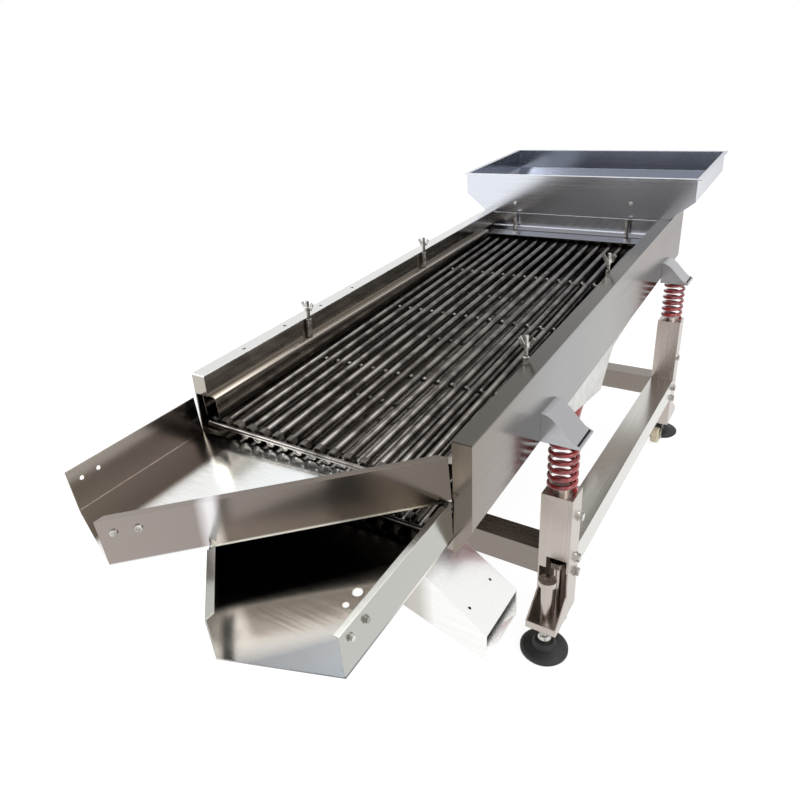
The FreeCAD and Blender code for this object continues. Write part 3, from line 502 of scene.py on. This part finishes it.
@dataclass
class SheetFasteners:
    """The screws in the upper chute's diagonal wall and the two fixings on the hopper's front plate."""

    material: bpy.types.Material
    radius: float = 6.0 * MM
    height: float = 3.0 * MM
    chute_spots: tuple[tuple[float, float], ...] = ((-0.1093, 0.5363), (-0.0828, 0.5396))
    hopper_spots: tuple[tuple[float, float], ...] = ((-0.188, 0.738), (0.181, 0.753))
    pieces: list[bpy.types.Object] = field(default_factory=list)

    def build(self) -> None:
        """Sets every head on the sheet that it holds."""
        for number, (x, z) in enumerate(self.chute_spots, start=1):
            spot, normal = self.land("upper_chute", x, z)
            self.pieces.append(self.head("chute_wall_screw_%d" % number, spot, normal, 20))
            self.pieces.append(self.head("chute_wall_nut_%d" % number, spot - normal * 2 * MM, -normal, 6))
        for number, (x, z) in enumerate(self.hopper_spots, start=1):
            spot, normal = self.land("hopper", x, z)
            self.pieces.append(self.head("hopper_fixing_%d" % number, spot, normal, 6))
        LOG.info("set %d sheet fasteners", len(self.pieces))

    def land(self, node: str, x: float, z: float) -> tuple[Vector, Vector]:
        """Finds where a line from the discharge end meets a sheet.

        Args:
            node: The sheet's node.
            x: Where the line runs across the machine.
            z: The line's height.

        Returns:
            The point and the sheet's outward normal there.
        """
        start = Vector((x, CAD_BOX[0][1] - 1.0, z))
        found, spot, normal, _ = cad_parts[node].ray_cast(start, Vector((0, 1, 0)))
        if not found:
            raise ValueError("no %s at x %.3f, z %.3f" % (node, x, z))
        return spot, normal

    def head(self, name: str, spot: Vector, normal: Vector, sides: int) -> bpy.types.Object:
        """Makes one head with a socket, standing on a sheet.

        Args:
            name: The piece's name.
            spot: The middle of its underside.
            normal: The direction that it stands out in.
            sides: Its number of sides.

        Returns:
            The head.
        """
        deselect()
        bpy.ops.mesh.primitive_cylinder_add(vertices=sides, radius=self.radius, depth=self.height)
        piece = bpy.context.object
        for face in piece.data.polygons:
            face.select = face.normal.z > 0.9
        bpy.ops.object.mode_set(mode="EDIT")
        bpy.ops.mesh.select_mode(type="FACE")
        bpy.ops.mesh.inset(thickness=self.radius * 0.5)
        bpy.ops.mesh.extrude_region_move(TRANSFORM_OT_translate={"value": (0, 0, -self.height * 0.5)})
        bpy.ops.object.mode_set(mode="OBJECT")
        rounded = piece.modifiers.new("rounded", "BEVEL")
        rounded.width = self.height * 0.3
        rounded.segments = 3
        rounded.limit_method = "ANGLE"
        piece.rotation_mode = "QUATERNION"
        piece.rotation_quaternion = normal.to_track_quat("Z", "Y")
        piece.location = spot + normal * self.height / 2
        settle(piece, name, self.material)
        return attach(piece, "sieve_box")


@dataclass
class WeldBeads:
    """The beads that join the rods of a deck to the cross bars under them, one on each flank of a rod."""

    material: bpy.types.Material
    deck: str
    rods: int = 16
    bar_runs: tuple[float, ...] = (0.330, 0.650, 0.950)
    rod_radius: float = 7.5 * MM
    bead_radius: float = 3.4 * MM
    pieces: list[bpy.types.Object] = field(default_factory=list)

    def build(self) -> None:
        """Lays a row of beads along each cross bar."""
        low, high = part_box(self.deck + "_rods")
        pitch = (high.x - low.x - 2 * self.rod_radius) / (self.rods - 1)
        slope = (high.z - low.z - 2 * self.rod_radius) / (high.y - low.y)
        first = Vector((low.x + self.rod_radius, low.y, low.z + self.rod_radius))
        for number, run in enumerate(self.bar_runs, start=1):
            spot = first + Vector((-self.rod_radius, run, run * slope - self.rod_radius))
            self.pieces.append(self.row("%s_weld_beads_%d" % (self.deck, number), spot, pitch))
        LOG.info("laid %d rows of beads on %s", len(self.pieces), self.deck)

    def row(self, name: str, spot: Vector, pitch: float) -> bpy.types.Object:
        """Makes the beads along one cross bar.

        Args:
            name: The piece's name.
            spot: The middle of the first bead.
            pitch: The distance between rods.

        Returns:
            The row.
        """
        deselect()
        bpy.ops.mesh.primitive_uv_sphere_add(segments=8, ring_count=6, radius=self.bead_radius, location=spot)
        bead = bpy.context.object
        bpy.ops.object.mode_set(mode="EDIT")
        bpy.ops.mesh.select_all(action="SELECT")
        bpy.ops.transform.resize(value=(1.0, 1.5, 0.8))
        bpy.ops.object.mode_set(mode="OBJECT")
        for count, step in ((2, 2 * self.rod_radius), (self.rods, pitch)):
            array = bead.modifiers.new("row", "ARRAY")
            array.count = count
            array.use_relative_offset = False
            array.use_constant_offset = True
            array.constant_offset_displace = (step, 0, 0)
        settle(bead, name, self.material, 60)
        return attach(bead, "sieve_box")


def frame_spring_centre(end: End, side: Side) -> Vector:
    """The axis of a spring, taken from the leg that it stands on.

    Args:
        end: Which end of the machine.
        side: Which side of the machine.

    Returns:
        A point on the axis at the height of the leg's top.
    """
    low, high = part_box("leg_%s_%s" % (end.word, side.word))
    return Vector(((low.x + high.x) / 2 - side.value * MM, (low.y + high.y) / 2, high.z))


@dataclass
class Studio:
    """A pale floor, a white surround, soft lamps and the camera."""

    floor_size: float = 80.0
    floor_colour: str = "F4F4F3"
    shadow_colour: str = "858585"
    floor_glow: float = 0.885
    camera_place: tuple[float, float, float] = (0.6754, -1.4466, 1.1056)
    camera_turn: tuple[float, float, float] = (66.28, 2.719, 32.271)
    lens_mm: float = 29.475
    shift: tuple[float, float] = (0.0006, -0.032)

    def build(self) -> None:
        """Makes the floor, the surround, the lamps and the camera."""
        self.lay_floor()
        self.surround()
        self.lamp("overhead", (0.2, 0.3, 3.4), (0.0, 0.0, 0.5), 3.2, 90)
        self.lamp("key", (-2.8, -2.2, 2.6), (0.0, -0.3, 0.5), 1.8, 70)
        self.lamp("fill", (3.2, -1.6, 1.8), (0.2, -0.1, 0.5), 1.6, 30)
        self.aim()

    def lay_floor(self) -> None:
        """Lays a plain pale floor, which isn't part of the object."""
        deselect()
        bpy.ops.mesh.primitive_plane_add(size=self.floor_size, location=(0, 0, 0))
        floor = bpy.context.object
        floor.name = "studio_floor"
        material, tree = blank_material("pale_studio_floor")
        seen = add(tree, "ShaderNodeAddShader", links={
            0: add(tree, "ShaderNodeEmission", {"Color": (1, 1, 1, 1), "Strength": self.floor_glow}).outputs[0],
            1: add(tree, "ShaderNodeBsdfDiffuse", {"Color": linear(self.shadow_colour)}).outputs[0]})
        plain = add(tree, "ShaderNodeBsdfDiffuse", {"Color": linear(self.floor_colour)})
        close_material(tree, add(tree, "ShaderNodeMixShader", links={
            0: self.mirrored_or_seen(tree), 1: plain.outputs[0], 2: seen.outputs[0]}))
        floor.data.materials.append(material)

    def surround(self) -> None:
        """A white surround for what is seen directly or mirrored, and a softer one for light."""
        world = bpy.data.worlds.new("studio")
        bpy.context.scene.world = world
        world.use_nodes = True
        tree = world.node_tree
        tree.nodes.clear()
        white = add(tree, "ShaderNodeBackground", {"Color": (1, 1, 1, 1), "Strength": 1.0})
        soft = add(tree, "ShaderNodeBackground", {"Color": linear("F2F4F6"), "Strength": 0.55})
        mix = add(tree, "ShaderNodeMixShader", links={0: self.mirrored_or_seen(tree), 1: soft.outputs[0],
                                                      2: white.outputs[0]})
        add(tree, "ShaderNodeOutputWorld", links={"Surface": mix.outputs[0]})

    def mirrored_or_seen(self, tree: bpy.types.NodeTree) -> bpy.types.NodeSocket:
        """Tells the rays that look at the surround from those that only carry its light.

        Args:
            tree: The node tree of the floor or of the world.

        Returns:
            A socket that is 1 for camera, glossy and transmission rays.
        """
        path = add(tree, "ShaderNodeLightPath").outputs
        seen = add(tree, "ShaderNodeMath", {"operation": "MAXIMUM"},
                   {0: path["Is Camera Ray"], 1: path["Is Glossy Ray"]})
        return add(tree, "ShaderNodeMath", {"operation": "MAXIMUM"},
                   {0: seen.outputs[0], 1: path["Is Transmission Ray"]}).outputs[0]

    def lamp(self, name: str, place: Sequence[float], target: Sequence[float], size: float,
             watts: float) -> None:
        """Hangs a square soft box.

        Args:
            name: The lamp's name.
            place: Where it hangs.
            target: The point it faces.
            size: Its side in metres.
            watts: Its power.
        """
        light = bpy.data.lights.new(name, "AREA")
        light.size = size
        light.energy = watts
        lamp = bpy.data.objects.new(name, light)
        bpy.context.scene.collection.objects.link(lamp)
        lamp.location = place
        lamp.rotation_euler = (Vector(target) - Vector(place)).to_track_quat("-Z", "Y").to_euler()

    def aim(self) -> None:
        """Sets the camera off the machine's right front corner, a little above the hopper."""
        data = bpy.data.cameras.new("camera")
        data.lens = self.lens_mm
        data.sensor_width = 36.0
        data.shift_x, data.shift_y = self.shift
        data.clip_start = 0.01
        camera = bpy.data.objects.new("camera", data)
        bpy.context.scene.collection.objects.link(camera)
        camera.location = self.camera_place
        camera.rotation_euler = Euler([math.radians(a) for a in self.camera_turn])
        bpy.context.scene.camera = camera


@dataclass
class Finishes:
    """Every finish on the machine, made once and shared."""

    made: dict[str, bpy.types.Material] = field(default_factory=dict)

    def build(self) -> None:
        """Makes the finishes."""
        level = (0.0, -0.07, 1.0)
        for finish in (
            # Right side: the tone along the length is a painted reflection that darkens to painted shade towards
            # the feed end; the dark flange top is a painted reflection.
            RolledStainless("right_side_sheet", Axis.Y,
                            ToneAndSheen((0, 1, 0), ((-0.70, "8A8178"), (-0.35, "8D8E8E"), (0.0, "8A8986"),
                                             (0.35, "6E625A"), (0.75, "4B342C"))),
                            even("5A5752"), Border(level, 0.6652, 0.6659)),
            # Left side: the tone along the length is a painted reflection; the near-white flange top is a painted
            # highlight.
            RolledStainless("left_side_sheet", Axis.Y,
                            ToneAndSheen((0, 1, 0), ((-0.70, "B0AAA1"), (0.0, "A59F95"), (0.75, "8A8279"))),
                            even("E0E0DE"), Border(level, 0.6652, 0.6659)),
            # Upper chute: the dull floor by the left fold is painted shade that gives way sharply to a painted
            # highlight over the rest; on the walls the narrow pale band is a painted highlight and the darker
            # stops are painted reflections.
            RolledStainless("upper_chute_sheet", Axis.X,
                            ToneAndSheen((1, 0, 0), ((-0.30, "A8A098"), (-0.205, "857C73"), (-0.19, "F1F1EE"),
                                             (0.0, "F3F7F8"), (0.26, "C8C4BE")), 0.004),
                            ToneAndSheen((0.752, 0.659, 0), ((-0.867, "A59D94"), (-0.78, "9B928C"), (-0.64, "948B86"),
                                                     (-0.621, "E6E3E4"), (-0.613, "E6E3E4"),
                                                     (-0.60, "867D78"), (-0.45, "797069"),
                                                     (-0.26, "6A625B")), 0.006),
                            Border((-0.0346, -0.063, 1.0), 0.5492, 0.5520)),
            # Lower chute: the near-black bed towards the feed end is a painted shadow from the upper chute, and
            # the bright band across the bed is a painted highlight.
            RolledStainless("lower_chute_sheet", Axis.X,
                            ToneAndSheen((0.725, -0.689, 0), ((0.66, "2A2622"), (0.695, "3C3732"), (0.716, "D8CFC2"),
                                                      (0.74, "FBF5EA"), (0.775, "E9E2D8"), (0.815, "8D8F91"),
                                                      (0.864, "6E7275")), 0.006),
                            even("B4B4AF"), Border(level, 0.4908, 0.4930)),
            # Fines chute: the darker tone near the middle and the near-white tone towards the right are a painted
            # reflection and a painted highlight.
            RolledStainless("fines_sheet", Axis.X,
                            ToneAndSheen((1, 0, 0), ((0.0, "8C857E"), (0.19, "C9C5BF"), (0.22, "F6F6F4"),
                                             (0.32, "F6F6F4")))),
            # Hopper: the tone, paler at its front and greyer and bluer towards the rear, is a painted reflection.
            RolledStainless("hopper_sheet", Axis.X,
                            ToneAndSheen((0, 1, 0), ((0.59, "DADDE5"), (0.64, "C6C9D1"), (1.0, "AEB2BC")))),
            RolledStainless("feed_plate_sheet", Axis.X, even("7F8086")),
            RolledStainless("rolled_stainless_along", Axis.Y, even("9A938B")),
            RolledStainless("rolled_stainless_across", Axis.X, even("A5A09A")),
            RolledStainless("pressed_hood_sheet", Axis.X, even("ADADB0")),
            RolledStainless("satin_stainless_tube", Axis.Z, even("BEB5AE"), roughness=(0.22, 0.32)),
            RolledStainless("long_rail_tube", Axis.Y, even("CFCDC8"), roughness=(0.16, 0.25)),
            RolledStainless("cross_rail_tube", Axis.X, even("8A827B"), roughness=(0.22, 0.32)),
            DrawnSteel("drawn_stainless_bar", "77736F", "4A4643"),
            DrawnSteel("plated_steel", "D2D0CC", "99958F", patch_mm=14),
            DrawnSteel("bright_weld_metal", "C9C6C1", "7C7772", patch_mm=6, roughness=(0.25, 0.45)),
            DrawnSteel("dull_comb_strip", "6F6B67", "45413E", patch_mm=30),
            Enamel("dark_red_enamel", "A3141B", "6E0F15", roughness=0.16, coat=1.0),
            Enamel("signal_red_enamel", "B3201C", "8E1714"),
            Enamel("pale_grey_enamel", "E4E3DF", "CDCBC6", coat=0.2, roughness=0.4),
            Moulded("black_rubber", "141414", "2A2927", 0.55),
            Moulded("cream_nylon", "E6DCC0", "CFC3A2", 0.42, subsurface=0.1),
        ):
            self.made[finish.name] = finish.build()

    def __getitem__(self, name: str) -> bpy.types.Material:
        """The finish of that name."""
        return self.made[name]


def dress_nodes(finishes: Finishes) -> None:
    """Gives every CAD node that stays its finish.

    Args:
        finishes: The machine's finishes.
    """
    corner = ["%s_%s" % (end.word, side.word) for end, side in CORNERS]
    for node, finish in (
        ("side_panel_left", "left_side_sheet"), ("side_panel_right", "right_side_sheet"),
        ("upper_chute", "upper_chute_sheet"), ("lower_chute", "lower_chute_sheet"),
        ("fines_chute", "fines_sheet"), ("hopper", "hopper_sheet"), ("feed_gate", "hopper_sheet"),
        ("feed_plate", "feed_plate_sheet"), ("long_rails", "long_rail_tube"),
        ("cross_rails", "cross_rail_tube"), ("rear_panel", "rolled_stainless_across"),
        ("fines_pan", "rolled_stainless_along"), ("clamp_channels", "rolled_stainless_along"),
        ("deck_ledges", "rolled_stainless_along"), ("upper_deck_comb", "dull_comb_strip"),
        ("lower_deck_comb", "dull_comb_strip"),
    ):
        dress([node], finishes[finish])
    dress(["spring_bracket_" + c for c in corner], finishes["pressed_hood_sheet"])
    dress(["leg_" + c for c in corner] + ["foot_channel_" + c for c in corner],
          finishes["satin_stainless_tube"])
    dress(["upper_deck_rods", "lower_deck_rods", "upper_deck_frame", "lower_deck_frame"],
          finishes["drawn_stainless_bar"])
    dress(["frame_bolts", "hold_down_bolts", "wing_nuts", "chute_screws", "castor_forks",
           "motor_rotor_left", "motor_rotor_right"] + ["foot_stud_" + c for c in corner],
          finishes["plated_steel"])
    dress(["foot_pad_" + c for c in corner], finishes["black_rubber"])
    dress(["castor_wheel_" + c for c in corner], finishes["cream_nylon"])
    dress(["motor_body_left", "motor_body_right", "motor_covers"], finishes["signal_red_enamel"])
    dress(["motor_mount"], finishes["pale_grey_enamel"])


def main() -> None:
    """Builds the studio, the finishes and the pieces, and reports each."""
    logging.basicConfig(level=logging.INFO, format="%(message)s")
    bpy.context.scene.view_settings.view_transform = "Standard"
    Studio().build()
    finishes = Finishes()
    finishes.build()
    dress_nodes(finishes)
    CoilSprings(finishes["dark_red_enamel"]).build()
    SheetFasteners(finishes["plated_steel"]).build()
    for deck in ("upper_deck", "lower_deck"):
        WeldBeads(finishes["bright_weld_metal"], deck).build()


if __name__ == "__main__":
    main()
